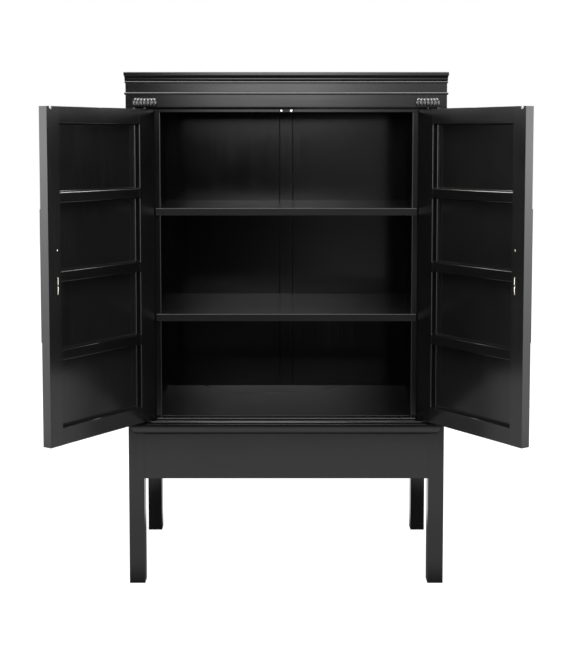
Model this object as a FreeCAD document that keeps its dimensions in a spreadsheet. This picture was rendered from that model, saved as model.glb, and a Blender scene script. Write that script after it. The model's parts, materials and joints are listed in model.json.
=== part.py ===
import FreeCAD, Part
import math
import os
import re

# Bar armoire: a black-lacquered cabinet on four square legs, with two pivot-hung doors that stand open at rest.
# Frame: +Z up, floor at z = 0, X across the front, +Y towards the back. Sizes in millimetres.

doc = FreeCAD.newDocument("bar_armoire")
sheet = doc.addObject("Spreadsheet::Sheet", "dims")

CELLS = [
    # whole cabinet
    ("half_w", "559"),            # half of the outer width over the legs
    ("depth", "668"),             # front face to the back of the rear legs
    ("front_y", "-135"),          # y of the front face: the origin is under the middle of the rest-pose envelope
    ("leg", "55"),                # square leg section
    ("post_w", "36.5"),           # width of the front posts beside the doors
    ("post_round", "15"),         # rounded inner front edge of the front posts
    ("apron_bottom", "380"),
    ("waist_bottom", "545"),
    ("waist_top", "577.5"),
    ("sill_bottom", "566"),
    ("sill_top", "584"),
    ("floor_top", "589"),
    ("soffit", "1692"),           # underside of the frieze
    ("band_bottom", "1736"),      # half-round bead along the frieze
    ("band_top", "1745.5"),
    ("ceiling_z", "1739"),        # underside of the ceiling panel, top of linings and stop rail
    ("neck_top", "1774"),         # top of the frieze and neck, underside of the top board
    ("total_h", "1816"),
    # boards
    ("apron_t", "22"),
    ("front_apron_t", "30"),
    ("waist_out", "12"),
    ("waist_half", "549"),
    ("waist_round", "26"),
    ("waist_barrel", "150"),      # radius of the waist moulding's gently barrelled face
    ("waist_crown", "567"),       # height of the barrel's foremost line
    ("waist_quirk", "4"),         # shadow groove that outlines the waist moulding
    ("quirk_deep", "3"),
    ("back_groove", "2.5"),       # rebate that leaves a groove on each side of the back's stile
    ("sill_step", "9.5"),         # the sill's front edge is stepped down by this depth
    ("sill_step_h", "3.5"),
    ("stop_y", "38"),             # shelf fronts, threshold and stop rail stand this far behind the front face
    ("jamb_y", "55"),             # front of the jambs
    ("jamb_back", "78"),          # back of the jambs and of the sill
    ("stop_half", "461"),         # half length of shelf fronts, threshold and stop rail
    ("jamb_half", "445.5"),       # inner arris of the jambs
    ("lining_half", "481"),       # inner face of the linings
    ("lining_t", "12"),
    ("side_in", "537"),           # inner face of side panels and side aprons
    ("side_out", "549"),          # outer face of the side panels
    ("back_y", "640"),            # inner face of the back
    ("back_t", "10"),
    ("stile_half", "25"),         # half width of the back's centre stile
    ("shelf_t", "25"),
    ("shelf1_top", "1339"),
    ("shelf2_top", "963"),
    ("stop_rail_bottom", "1677"),
    ("ceiling_t", "12"),
    ("frieze_t", "38"),
    ("bead_out", "4.2"),
    ("top_over", "5.8"),          # overhang of the top board
    ("cleat", "18"),
    ("slack", "0.3"),
    # doors
    ("pivot_x", "494.4"),
    ("pivot_y", "18.5"),          # pivot axis behind the front face
    ("rest_angle", "124.4"),      # how far the doors stand open at rest
    ("door_len", "492.9"),        # pivot axis to free edge
    ("door_heel", "25.5"),        # pivot axis to hinge edge
    ("door_half_t", "17"),
    ("door_bottom", "587"),
    ("door_top", "1688"),
    ("heel_round", "14"),
    ("hinge_stile_w", "75"),
    ("free_stile_w", "55"),
    ("top_rail_h", "54"),
    ("bottom_rail_h", "57"),
    ("mid_rail_h", "34"),
    ("field_h", "222"),           # height of each of the four fields
    ("panel_t", "11"),
    ("bead_h", "5"),              # quarter-round bead round each field
    ("pin_r", "5"),
    ("bush_bore_r", "5.05"),
    ("bush_r", "8"),
    ("bush_len", "12"),
    # hardware
    ("plate_r", "216"),
    ("plate_t", "3"),
    ("plate_z", "1144"),
    ("pull_z", "1110"),
    ("stud_z", "1225"),
    ("fix_in", "41"),             # pull and stud, from the free edge
    ("shank_r", "2.4"),
    ("axle_r", "1.5"),
    ("axle_bore_r", "1.55"),
    ("axle_out", "8"),            # axle in front of the outer face of the door
    ("strike_r", "5"),
    ("strike_t", "2"),
    ("strike_in", "16"),
    ("catch_z", "1682.5"),
    ("magnet_r", "4.5"),
    ("magnet_x", "17.5"),
]
for i, (alias, value) in enumerate(CELLS, start=1):
    sheet.set("A%d" % i, alias)
    sheet.set("B%d" % i, value)
    sheet.setAlias("B%d" % i, alias)
doc.recompute()
V = {alias: float(sheet.get(alias)) for alias, value in CELLS}
ALIASES = set(V)


def ex(text):
    """A formula over the sheet's cells, written with their bare names."""
    return re.sub(r"[A-Za-z_]\w*", lambda w: "dims." + w.group(0) if w.group(0) in ALIASES else w.group(0), str(text))


def bind(obj, **sizes):
    for name, text in sizes.items():
        obj.setExpression(name.replace("__", "."), ex(text))


PARTS = []


def piece(obj, label):
    obj.Label = label
    PARTS.append(obj)
    return obj


def box(name, x0, x1, y0, y1, z0, z1):
    """A board from corner to corner; y is counted from the cabinet's front face."""
    b = doc.addObject("Part::Box", name)
    bind(b, Length="(%s)-(%s)" % (x1, x0), Width="(%s)-(%s)" % (y1, y0), Height="(%s)-(%s)" % (z1, z0))
    bind(b, Placement__Base__x=x0, Placement__Base__y="front_y+(%s)" % y0, Placement__Base__z=z0)
    return b


def post(name, x, y, z0, z1, r):
    """An upright cylinder; y is counted from the cabinet's front face."""
    c = doc.addObject("Part::Cylinder", name)
    bind(c, Radius=r, Height="(%s)-(%s)" % (z1, z0))
    bind(c, Placement__Base__x=x, Placement__Base__y="front_y+(%s)" % y, Placement__Base__z=z0)
    return c


def cut(name, base, *tools):
    tool = tools[0]
    if len(tools) > 1:
        tool = doc.addObject("Part::MultiFuse", name + "_tools")
        tool.Shapes = list(tools)
    c = doc.addObject("Part::Cut", name)
    c.Base = base
    c.Tool = tool
    return c


def fuse(name, *shapes):
    f = doc.addObject("Part::MultiFuse", name)
    f.Shapes = list(shapes)
    return f


def group(name, *shapes):
    g = doc.addObject("Part::Compound", name)
    g.Links = list(shapes)
    return g


def rounded(name, base, pick, radius):
    """Rounds the edges of base whose middle and direction satisfy pick(middle, direction)."""
    doc.recompute()
    chosen = []
    for n, e in enumerate(base.Shape.Edges, start=1):
        a, b = e.Vertexes[0].Point, e.Vertexes[-1].Point
        mid = e.CenterOfMass
        way = (b - a)
        if way.Length > 1e-9:
            way = way * (1.0 / way.Length)
        if pick(mid, way):
            chosen.append((n, radius, radius))
    f = doc.addObject("Part::Fillet", name)
    f.Base = base
    f.Edges = chosen
    return f


def near(a, b):
    return abs(a - b) < 0.01


FY = V["front_y"]

# quirk: a shallow groove in the front legs and apron, just outside the waist moulding's lower edge and rounded corners
quirk_outer = box("waist_quirk_outer", "-waist_half-waist_quirk", "waist_half+waist_quirk", "-1", "quirk_deep", "waist_bottom-waist_quirk", "waist_top")
quirk_inner = box("waist_quirk_inner", "-waist_half", "waist_half", "-2", "quirk_deep+1", "waist_bottom", "waist_top+1")
quirk = cut("waist_quirk_channel",
            rounded("waist_quirk_outer_round", quirk_outer,
                    lambda m, w: near(abs(w.y), 1) and near(m.z, V["waist_bottom"] - V["waist_quirk"]), V["waist_round"] + V["waist_quirk"]),
            rounded("waist_quirk_inner_round", quirk_inner, lambda m, w: near(abs(w.y), 1) and near(m.z, V["waist_bottom"]), V["waist_round"]))

# ---------------------------------------------------------------------------------------------- legs and stand
for side, tag in ((-1, "left"), (1, "right")):
    # front leg: square below the sill, a slim post with a rounded inner edge beside the door above it
    lx0, lx1 = ("-half_w", "-half_w+leg") if side < 0 else ("half_w-leg", "half_w")
    ux0, ux1 = ("-half_w", "-half_w+post_w") if side < 0 else ("half_w-post_w", "half_w")
    lower = box("front_%s_foot" % tag, lx0, lx1, "0", "leg", "0", "sill_bottom")
    upper = box("front_%s_upper" % tag, ux0, ux1, "0", "leg", "sill_bottom", "soffit")
    xin = side * (V["half_w"] - V["post_w"])
    upper_r = rounded("front_%s_upper_round" % tag, upper,
                      lambda m, w, xin=xin: near(abs(w.z), 1) and near(m.x, xin) and near(m.y, FY), V["post_round"])
    piece(cut("front_%s_leg_s" % tag, fuse("front_%s_leg_solid" % tag, lower, upper_r), quirk), "front_%s_leg" % tag)
    # rear leg: one square post from the floor to the top rails
    piece(box("rear_%s_leg_s" % tag, lx0, lx1, "depth-leg", "depth", "0", "soffit"), "rear_%s_leg" % tag)

piece(cut("front_apron_s", box("front_apron_board", "-half_w+leg", "half_w-leg", "0", "front_apron_t", "apron_bottom", "sill_bottom"), quirk), "front_apron")
piece(box("rear_apron_s", "-half_w+leg", "half_w-leg", "back_y-2", "back_y-2+apron_t", "apron_bottom", "floor_top"), "rear_apron")
piece(box("left_apron_s", "-half_w", "-side_in", "leg", "depth-leg", "apron_bottom", "floor_top"), "left_apron")
piece(box("right_apron_s", "side_in", "half_w", "leg", "depth-leg", "apron_bottom", "floor_top"), "right_apron")

# waist moulding: gently barrelled along the front, its lower edge rounded, its lower corners rounded in elevation
body = doc.addObject("PartDesign::Body", "waist_elevation")
plane = [f for f in body.Origin.OriginFeatures if f.Role == "XZ_Plane"][0]
sk = body.newObject("Sketcher::SketchObject", "waist_outline")
sk.AttachmentSupport = [(plane, "")]
sk.MapMode = "FlatFace"
import Sketcher

wh, wr = V["waist_half"], V["waist_round"]
wb, wt = V["waist_bottom"], V["waist_top"]
vec = FreeCAD.Vector
sk.addGeometry(Part.LineSegment(vec(-wh + wr, wb, 0), vec(wh - wr, wb, 0)), False)
sk.addGeometry(Part.ArcOfCircle(Part.Circle(vec(wh - wr, wb + wr, 0), vec(0, 0, 1), wr), -math.pi / 2, 0), False)
sk.addGeometry(Part.LineSegment(vec(wh, wb + wr, 0), vec(wh, wt, 0)), False)
sk.addGeometry(Part.LineSegment(vec(wh, wt, 0), vec(-wh, wt, 0)), False)
sk.addGeometry(Part.LineSegment(vec(-wh, wt, 0), vec(-wh, wb + wr, 0)), False)
sk.addGeometry(Part.ArcOfCircle(Part.Circle(vec(-wh + wr, wb + wr, 0), vec(0, 0, 1), wr), math.pi, 3 * math.pi / 2), False)
for a, ap, b, bp in ((2, 2, 3, 1), (3, 2, 4, 1)):
    sk.addConstraint(Sketcher.Constraint("Coincident", a, ap, b, bp))
for a, ap, b, bp in ((0, 2, 1, 1), (1, 2, 2, 1), (4, 2, 5, 1), (5, 2, 0, 1)):
    sk.addConstraint(Sketcher.Constraint("Tangent", a, ap, b, bp))
sk.addConstraint(Sketcher.Constraint("Horizontal", 0))
sk.addConstraint(Sketcher.Constraint("Vertical", 2))
sk.addConstraint(Sketcher.Constraint("Vertical", 4))
sk.addConstraint(Sketcher.Constraint("Equal", 1, 5))
sk.addConstraint(Sketcher.Constraint("Symmetric", 3, 1, 3, 2, -2))
c_len = sk.addConstraint(Sketcher.Constraint("DistanceX", 3, 2, 3, 1, 2 * wh))
c_rad = sk.addConstraint(Sketcher.Constraint("Radius", 1, wr))
c_top = sk.addConstraint(Sketcher.Constraint("DistanceY", -1, 1, 3, 1, wt))
c_bot = sk.addConstraint(Sketcher.Constraint("DistanceY", -1, 1, 0, 1, wb))
sk.setExpression("Constraints[%d]" % c_len, ex("2*waist_half"))
sk.setExpression("Constraints[%d]" % c_rad, ex("waist_round"))
sk.setExpression("Constraints[%d]" % c_top, ex("waist_top"))
sk.setExpression("Constraints[%d]" % c_bot, ex("waist_bottom"))
pad = body.newObject("PartDesign::Pad", "waist_pad")
pad.Profile = sk
bind(pad, Length="waist_out")
body.setExpression("Placement.Base.y", ex("front_y"))
doc.recompute()
waist_bar = box("waist_bar", "-waist_half-5", "waist_half+5", "-waist_out-1", "0", "waist_bottom", "waist_top")
barrel = doc.addObject("Part::Cylinder", "waist_barrel_round")
bind(barrel, Radius="waist_barrel", Height="2*waist_half+10")
barrel.Placement = FreeCAD.Placement(vec(-wh - 5, FY - V["waist_out"] + V["waist_barrel"], V["waist_crown"]), FreeCAD.Rotation(vec(0, 1, 0), 90))
bind(barrel, Placement__Base__x="-waist_half-5", Placement__Base__y="front_y-waist_out+waist_barrel", Placement__Base__z="waist_crown")
waist_a = doc.addObject("Part::Common", "waist_bar_barrelled")
waist_a.Base = waist_bar
waist_a.Tool = barrel
waist_b = rounded("waist_bar_lower", waist_a, lambda m, w: near(abs(w.x), 1) and near(m.z, wb) and m.y < FY - 5, 9.0)
waist = doc.addObject("Part::Common", "front_waist_s")
waist.Base = body
waist.Tool = waist_b
piece(waist, "front_waist_moulding")

# sill: the ledge the doors close over, with a stepped front edge and a bush hole near each end
sill = box("sill_board", "-half_w+post_w", "half_w-post_w", "0", "jamb_back", "sill_bottom", "sill_top")
step = box("sill_step_cut", "-half_w+post_w-1", "half_w-post_w+1", "-1", "sill_step", "sill_top-sill_step_h", "sill_top+1")
holes = [post("sill_hole_%s" % t, "%spivot_x" % s, "pivot_y", "sill_top-bush_len", "sill_top+1", "bush_r") for s, t in (("-", "l"), ("", "r"))]
piece(cut("front_sill_s", sill, step, *holes), "front_sill")

# threshold strip in front of the floor, notched round the jambs
thr = box("threshold_board", "-stop_half", "stop_half", "stop_y", "jamb_back", "sill_top", "floor_top")
n1 = box("threshold_notch_l", "-stop_half-1", "-jamb_half", "jamb_y", "jamb_back+1", "sill_top-1", "floor_top+1")
n2 = box("threshold_notch_r", "jamb_half", "stop_half+1", "jamb_y", "jamb_back+1", "sill_top-1", "floor_top+1")
piece(cut("threshold_s", thr, n1, n2), "threshold_strip")

# floor panel between the aprons, notched round the rear legs
flo = box("floor_board", "-side_in", "side_in", "jamb_back", "back_y-2", "floor_top-18", "floor_top")
n1 = box("floor_notch_l", "-side_in-1", "-half_w+leg", "depth-leg", "back_y", "floor_top-20", "floor_top+1")
n2 = box("floor_notch_r", "half_w-leg", "side_in+1", "depth-leg", "back_y", "floor_top-20", "floor_top+1")
piece(cut("floor_panel_s", flo, n1, n2), "floor_panel")

# ---------------------------------------------------------------------------------------------- case
for side, tag, s in ((-1, "left", "-"), (1, "right", "")):
    def span(a, b, s=s):
        return ("-(%s)" % b, "-(%s)" % a) if s else (a, b)

    x0, x1 = span("side_in", "side_out")
    piece(box("%s_side_panel_s" % tag, x0, x1, "leg", "depth-leg", "floor_top", "soffit"), "%s_side_panel" % tag)
    x0, x1 = span("lining_half", "lining_half+lining_t")
    piece(box("%s_lining_s" % tag, x0, x1, "jamb_back", "back_y", "floor_top", "ceiling_z"), "%s_lining" % tag)
    x0, x1 = span("jamb_half", "side_in")
    piece(box("%s_jamb_s" % tag, x0, x1, "jamb_y", "jamb_back", "sill_top", "soffit"), "%s_jamb" % tag)
    # side top rail with the bead on its outer face
    x0, x1 = span("half_w-frieze_t", "half_w")
    rail = box("%s_top_rail_board" % tag, x0, x1, "frieze_t", "depth", "soffit", "neck_top")
    x0, x1 = span("half_w-5", "half_w+bead_out")
    bead = box("%s_top_rail_bead" % tag, x0, x1, "frieze_t", "depth", "band_bottom", "band_top")
    bx = side * (V["half_w"] + V["bead_out"])
    bead_r = rounded("%s_top_rail_bead_round" % tag, bead, lambda m, w, bx=bx: near(abs(w.y), 1) and near(m.x, bx), 4.1)
    piece(fuse("%s_top_rail_s" % tag, rail, bead_r), "%s_top_rail" % tag)

# shelves: boards between the linings, notched round the jambs, with a front edge that runs past the jambs
for tag, top in (("upper", "shelf1_top"), ("lower", "shelf2_top")):
    b = box("%s_shelf_board" % tag, "-lining_half+slack", "lining_half-slack", "stop_y", "back_y-3-slack", "%s-shelf_t" % top, top)
    tools = []
    for s, t in ((-1, "l"), (1, "r")):
        a0, a1 = ("-lining_half", "-jamb_half+slack") if s < 0 else ("jamb_half-slack", "lining_half")
        tools.append(box("%s_shelf_notch_%s" % (tag, t), a0, a1, "jamb_y-slack", "jamb_back+slack", "%s-shelf_t-1" % top, "%s+1" % top))
        a0, a1 = ("-lining_half", "-stop_half") if s < 0 else ("stop_half", "lining_half")
        tools.append(box("%s_shelf_ear_%s" % (tag, t), a0, a1, "stop_y-1", "jamb_y", "%s-shelf_t-1" % top, "%s+1" % top))
    piece(cut("%s_shelf_s" % tag, b, *tools), "%s_shelf" % tag)

cleats = []
for s, t in ((-1, "l"), (1, "r")):
    for k, top in (("a", "shelf1_top-shelf_t"), ("b", "shelf2_top-shelf_t")):
        a0, a1 = ("-lining_half", "-lining_half+cleat") if s < 0 else ("lining_half-cleat", "lining_half")
        cleats.append(box("cleat_%s%s" % (t, k), a0, a1, "jamb_back+12", "back_y-12", "%s-cleat" % top, top))
    a0, a1 = ("-side_in", "-side_in+cleat") if s < 0 else ("side_in-cleat", "side_in")
    cleats.append(box("cleat_%sf" % t, a0, a1, "jamb_back+12", "depth-leg-12", "floor_top-18-cleat", "floor_top-18"))
piece(group("shelf_cleats_s", *cleats), "shelf_cleats")

bl = box("back_left_board", "-half_w+leg", "-stile_half", "back_y", "back_y+back_t", "floor_top", "soffit")
bl_cut = box("back_left_rebate", "-stile_half-back_groove", "-stile_half+1", "back_y-1", "back_y+4", "floor_top-1", "soffit+1")
piece(cut("back_left_panel_s", bl, bl_cut), "back_left_panel")
br = box("back_right_board", "stile_half", "half_w-leg", "back_y", "back_y+back_t", "floor_top", "soffit")
br_cut = box("back_right_rebate", "stile_half-1", "stile_half+back_groove", "back_y-1", "back_y+4", "floor_top-1", "soffit+1")
piece(cut("back_right_panel_s", br, br_cut), "back_right_panel")
piece(box("back_centre_stile_s", "-stile_half", "stile_half", "back_y-3", "back_y+18", "floor_top", "soffit"), "back_centre_stile")
piece(box("rear_top_rail_s", "-half_w+frieze_t", "half_w-frieze_t", "back_y", "depth", "soffit", "neck_top"), "rear_top_rail")
stop_board = box("stop_rail_board", "-stop_half", "stop_half", "stop_y", "jamb_y", "stop_rail_bottom", "ceiling_z")
stop_slot = box("stop_rail_mortise", "-25", "25", "stop_y-1", "stop_y+14", "catch_z-5.5", "catch_z+5.5")
piece(cut("door_stop_rail_s", stop_board, stop_slot), "door_stop_rail")
piece(box("ceiling_panel_s", "-half_w+frieze_t", "half_w-frieze_t", "frieze_t", "back_y", "ceiling_z", "ceiling_z+ceiling_t"), "ceiling_panel")

# frieze: a thick rail over the doors with a bead that returns on its ends, and two bush holes underneath
fr = box("frieze_board", "-half_w", "half_w", "0", "frieze_t", "soffit", "neck_top")
fb = box("frieze_bead", "-half_w-bead_out", "half_w+bead_out", "-bead_out", "frieze_t", "band_bottom", "band_top")
fby = FY - V["bead_out"]
fbx = V["half_w"] + V["bead_out"]
fb_r = rounded("frieze_bead_round", fb, lambda m, w: (near(abs(w.x), 1) and near(m.y, fby)) or (near(abs(w.y), 1) and near(abs(m.x), fbx)), 4.1)
fr_f = fuse("frieze_with_bead", fr, fb_r)
holes = [post("frieze_hole_%s" % t, "%spivot_x" % s, "pivot_y", "soffit-1", "soffit+bush_len", "bush_r") for s, t in (("-", "l"), ("", "r"))]
piece(cut("frieze_rail_s", fr_f, *holes), "frieze_rail")

# top board: slab with rounded edges, undercut below it, then a gently barrelled band and a bead; hollowed underneath
hw, dp = V["half_w"], V["depth"]
core = box("top_core", "-half_w", "half_w", "0", "depth", "neck_top", "total_h")


def ring(out, z):
    """Outline of the top board at height z, standing out by the given amount at the front and the sides."""
    pts = [vec(-hw - out, FY - out, z), vec(hw + out, FY - out, z), vec(hw + out, FY + dp, z), vec(-hw - out, FY + dp, z)]
    return Part.makePolygon(pts + pts[:1])


fascia = doc.addObject("Part::Feature", "top_fascia")
fascia.Shape = Part.makeLoft([ring(2.4, 1794.0), ring(4.8, 1804.0)], True, True)
roll = doc.addObject("Part::Feature", "top_roll")
roll.Shape = Part.makeLoft([ring(o, z) for o, z in ((1.0, 1782.0), (1.9, 1784.5), (2.6, 1787.5), (2.9, 1790.0), (2.8, 1792.5), (2.4, 1795.0))], True, True)


def edging(name, out, z0, z1, r):
    """A moulding round the front and the sides of the top board, its edges rounded."""
    b = box(name, "-half_w-%s" % out, "half_w+%s" % out, "-%s" % out, "depth", z0, z1)
    ox, oy = hw + out, FY - out
    return rounded(name + "_round", b, lambda m, w: (near(abs(w.x), 1) and near(m.y, oy)) or (near(abs(w.y), 1) and near(abs(m.x), ox)), r)


slab_r = edging("top_slab", V["top_over"], "total_h-14", "total_h", 3.2)
bead_t = edging("top_bead", 3.0, "neck_top+2", "neck_top+9.5", 2.9)
hollow = box("top_hollow", "-half_w+60", "half_w-60", "60", "depth-60", "neck_top-1", "neck_top+20")
piece(cut("top_board_s", fuse("top_board_solid", core, slab_r, fascia, roll, bead_t), hollow), "top_board")

# carved melon caps on the frieze, over the pivots: lobed half-rounds, lofted through scalloped outlines
def lobed(cx, z, rx, ry, n, bulge):
    """A scalloped half-ellipse standing out of the frieze face, closed along the face; the lobes are evenly wide."""
    turn = [math.acos(1 - k / n) for k in range(2 * n + 1)]
    pts = [vec(cx - rx * math.cos(a), FY - ry * math.sin(a), z) for a in turn[::2]]
    edges = []
    for k in range(n):
        a = turn[2 * k + 1]
        mid = vec(cx - (rx + bulge) * math.cos(a), FY - (ry + bulge) * math.sin(a), z)
        edges.append(Part.Arc(pts[k], mid, pts[k + 1]).toShape())
    edges.append(Part.LineSegment(pts[-1], pts[0]).toShape())
    return Part.Wire(edges)


for s, t in ((-1, "left"), (1, "right")):
    cx = s * (V["pivot_x"] - 2.5)
    rings = [lobed(cx, 1698.0 + dz, 42.0 * k, 20.5 * k, 7, 3.2 * k)
             for dz, k in ((0, 0.84), (3.5, 0.94), (9, 1.0), (16, 1.0), (21, 0.95), (24.5, 0.86), (27, 0.72), (28, 0.60))]
    cap = doc.addObject("Part::Feature", "%s_cap_s" % t)
    cap.Shape = Part.makeLoft(rings, True, True)
    piece(cap, "%s_pivot_cap" % t)

# double magnetic catch let into the stop rail
piece(box("catch_body_s", "-24.5", "24.5", "stop_y", "stop_y+13.5", "catch_z-5", "catch_z+5"), "catch_body")
doc.getObject("catch_body_s").Label = "catch_body_blank"
PARTS.pop()
mag_holes, mags = [], []
for s, t in ((-1, "l"), (1, "r")):
    for k, store in (("hole", mag_holes), ("disc", mags)):
        c = doc.addObject("Part::Cylinder", "catch_%s_%s" % (k, t))
        bind(c, Radius="magnet_r" if k == "disc" else "magnet_r+0.05", Height="6" if k == "disc" else "7")
        c.Placement = FreeCAD.Placement(vec(s * V["magnet_x"], FY + V["stop_y"] + 6, V["catch_z"]) if k == "disc" else
                                        vec(s * V["magnet_x"], FY + V["stop_y"] + 6, V["catch_z"]), FreeCAD.Rotation(vec(1, 0, 0), 90))
        store.append(c)
piece(cut("catch_body_cut", doc.getObject("catch_body_s"), *mag_holes), "catch_body")
piece(group("catch_magnets_s", *mags), "catch_magnets")

# pivot bushes: one below and one above each door
bushes = []
for s, t in (("-", "l"), ("", "r")):
    for k, z0, z1 in (("low", "sill_top-bush_len", "sill_top"), ("high", "soffit", "soffit+bush_len")):
        o = post("bush_%s_%s" % (k, t), s + "pivot_x", "pivot_y", z0, z1, "bush_r")
        i = post("bush_bore_%s_%s" % (k, t), s + "pivot_x", "pivot_y", "%s-1" % z0, "%s+1" % z1, "bush_bore_r")
        bushes.append(cut("bush_ring_%s_%s" % (k, t), o, i))
piece(group("pivot_bushes_s", *bushes), "pivot_bushes")

# ---------------------------------------------------------------------------------------------- doors
# Each door is set out in its own plane: u runs from the pivot axis to the free edge, v from the pivot axis
# towards the inside, then turned about the pivot by the rest angle.
for side, tag in ((-1, "left"), (1, "right")):
    turn = side * V["rest_angle"]
    px, py = side * V["pivot_x"], FY + V["pivot_y"]
    spin = FreeCAD.Placement(vec(px, py, 0), FreeCAD.Rotation(vec(0, 0, 1), turn))
    cosx, sinx = "cos(rest_angle)", "sin(rest_angle)"
    sgn = "-" if side > 0 else ""            # u runs along +x on the left door and along -x on the right one

    def put(obj, x, y, z, turn_only=True, side=side, turn=turn):
        """Places an object whose corner is at (x, y, z) of the door's own frame."""
        s = "" if side > 0 else "-"
        obj.Placement = FreeCAD.Placement(vec(0, 0, 0), FreeCAD.Rotation(vec(0, 0, 1), turn))
        obj.setExpression("Placement.Base.x", ex("%spivot_x+(%s)*cos(rest_angle)-(%s1)*(%s)*sin(rest_angle)" % (s, x, s, y)))
        obj.setExpression("Placement.Base.y", ex("front_y+pivot_y+(%s1)*(%s)*sin(rest_angle)+(%s)*cos(rest_angle)" % (s, x, y)))
        obj.setExpression("Placement.Base.z", ex(z))
        obj.setExpression("Placement.Rotation.Angle", ex("rest_angle"))
        obj.Placement.Rotation.Axis = vec(0, 0, 1 if side > 0 else -1)
        return obj

    def dbox(name, u0, u1, v0, v1, z0, z1, side=side, tag=tag):
        b = doc.addObject("Part::Box", "%s_%s" % (tag, name))
        bind(b, Length="(%s)-(%s)" % (u1, u0), Width="(%s)-(%s)" % (v1, v0), Height="(%s)-(%s)" % (z1, z0))
        b.Placement = FreeCAD.Placement(vec(0, 0, 0), FreeCAD.Rotation(vec(0, 0, 1), turn))
        return put(b, u0 if side < 0 else "-(%s)" % u1, v0, z0)

    def dpin(name, r, z0, z1, tag=tag, side=side):
        c = doc.addObject("Part::Cylinder", "%s_%s" % (tag, name))
        bind(c, Radius=r, Height="(%s)-(%s)" % (z1, z0))
        bind(c, Placement__Base__x="%spivot_x" % ("-" if side < 0 else ""), Placement__Base__y="front_y+pivot_y", Placement__Base__z=z0)
        return c

    def dcyl(name, r, u, z, v0, v1, tag=tag, side=side, spin=spin, angle=None):
        """A cylinder square to the door, from v0 (outer) to v1 (inner), centred at u and z."""
        c = doc.addObject("Part::Cylinder", "%s_%s" % (tag, name))
        bind(c, Radius=r, Height="%s" % (v1 - v0))
        local = FreeCAD.Placement(vec(-side * u, v0, z), FreeCAD.Rotation(vec(1, 0, 0), -90))
        c.Placement = spin.multiply(local)
        return c

    def dbar(name, r, u, v, z, length, tag=tag, side=side, spin=spin):
        """A cylinder along the door's width, centred at u, v and z."""
        c = doc.addObject("Part::Cylinder", "%s_%s" % (tag, name))
        bind(c, Radius=r, Height="%s" % length)
        local = FreeCAD.Placement(vec(-side * u - length / 2.0, v, z), FreeCAD.Rotation(vec(0, 1, 0), 90))
        c.Placement = spin.multiply(local)
        return c

    u_in, u_out = "hinge_stile_w-door_heel", "door_len-free_stile_w"
    half = V["door_half_t"]
    L = V["door_len"]
    fix_u = L - V["fix_in"]

    # hinge stile with a rounded outer heel and two pivot holes
    hs = dbox("hinge_stile_board", "-door_heel", u_in, "-door_half_t", "door_half_t", "door_bottom", "door_top")
    corner = spin.multVec(vec(side * V["door_heel"], -half, 0))
    hs_r = rounded("%s_hinge_stile_round" % tag, hs,
                   lambda m, w, c=corner: near(abs(w.z), 1) and abs(m.x - c.x) < 0.05 and abs(m.y - c.y) < 0.05, V["heel_round"])
    h_lo = dpin("hinge_hole_low", "pin_r+0.01", "door_bottom-1", "door_bottom+30")
    h_hi = dpin("hinge_hole_high", "pin_r+0.01", "door_top-30", "door_top+1")
    piece(cut("%s_hinge_stile_s" % tag, hs_r, h_lo, h_hi), "%s_door_hinge_stile" % tag)
    p_lo = dpin("pin_low", "pin_r", "door_bottom-11", "door_bottom+30")
    p_hi = dpin("pin_high", "pin_r", "door_top-30", "door_top+14")
    piece(group("%s_pivot_pins_s" % tag, p_lo, p_hi), "%s_door_pivot_pins" % tag)

    # free stile, bored for the split pin and the stud
    fs = dbox("free_stile_board", u_out, "door_len", "-door_half_t", "door_half_t", "door_bottom", "door_top")
    fh1 = dcyl("free_hole_pull", "shank_r+0.01", fix_u, V["pull_z"], -half - 1, half + 1)
    fh2 = dcyl("free_hole_stud", "2.01", fix_u, V["stud_z"], -half - 1, half + 1)
    piece(cut("%s_free_stile_s" % tag, fs, fh1, fh2), "%s_door_free_stile" % tag)

    piece(dbox("top_rail_s", u_in, u_out, "-door_half_t", "door_half_t", "door_top-top_rail_h", "door_top"), "%s_door_top_rail" % tag)
    piece(dbox("bottom_rail_s", u_in, u_out, "-door_half_t", "door_half_t", "door_bottom", "door_bottom+bottom_rail_h"), "%s_door_bottom_rail" % tag)
    rails = []
    for k in range(3):
        z0 = "door_bottom+bottom_rail_h+%d*field_h+%d*mid_rail_h" % (k + 1, k)
        rails.append(dbox("mid_rail_%d" % (k + 1), u_in, u_out, "-door_half_t+panel_t", "door_half_t", z0, "%s+mid_rail_h" % z0))
    piece(group("%s_mid_rails_s" % tag, *rails), "%s_door_mid_rails" % tag)
    # panel with a quarter-round bead worked round each of its four fields
    panel = dbox("panel_board", u_in, u_out, "-door_half_t", "-door_half_t+panel_t", "door_bottom+bottom_rail_h", "door_top-top_rail_h")
    back = spin.inverse()
    frames = []
    for k in range(4):
        z0 = "door_bottom+bottom_rail_h+%d*(field_h+mid_rail_h)" % k
        o = dbox("bead_out_%d" % k, u_in, u_out, "-door_half_t+panel_t", "-door_half_t+panel_t+bead_h", z0, "%s+field_h" % z0)
        i = dbox("bead_in_%d" % k, "%s+bead_h" % u_in, "%s-bead_h" % u_out, "-door_half_t+panel_t-1", "-door_half_t+panel_t+bead_h+1",
                 "%s+bead_h" % z0, "%s+field_h-bead_h" % z0)
        f = cut("%s_bead_frame_%d" % (tag, k), o, i)
        zb = V["door_bottom"] + V["bottom_rail_h"] + k * (V["field_h"] + V["mid_rail_h"])
        ua, ub = V["hinge_stile_w"] - V["door_heel"] + V["bead_h"], L - V["free_stile_w"] - V["bead_h"]

        def lip(m, w, back=back, side=side, zb=zb, ua=ua, ub=ub):
            q = back.multVec(m)
            u = -side * q.x
            if abs(q.y - (V["panel_t"] + V["bead_h"] - half)) > 0.01:
                return False
            return near(u, ua) or near(u, ub) or near(q.z, zb + V["bead_h"]) or near(q.z, zb + V["field_h"] - V["bead_h"])

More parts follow.
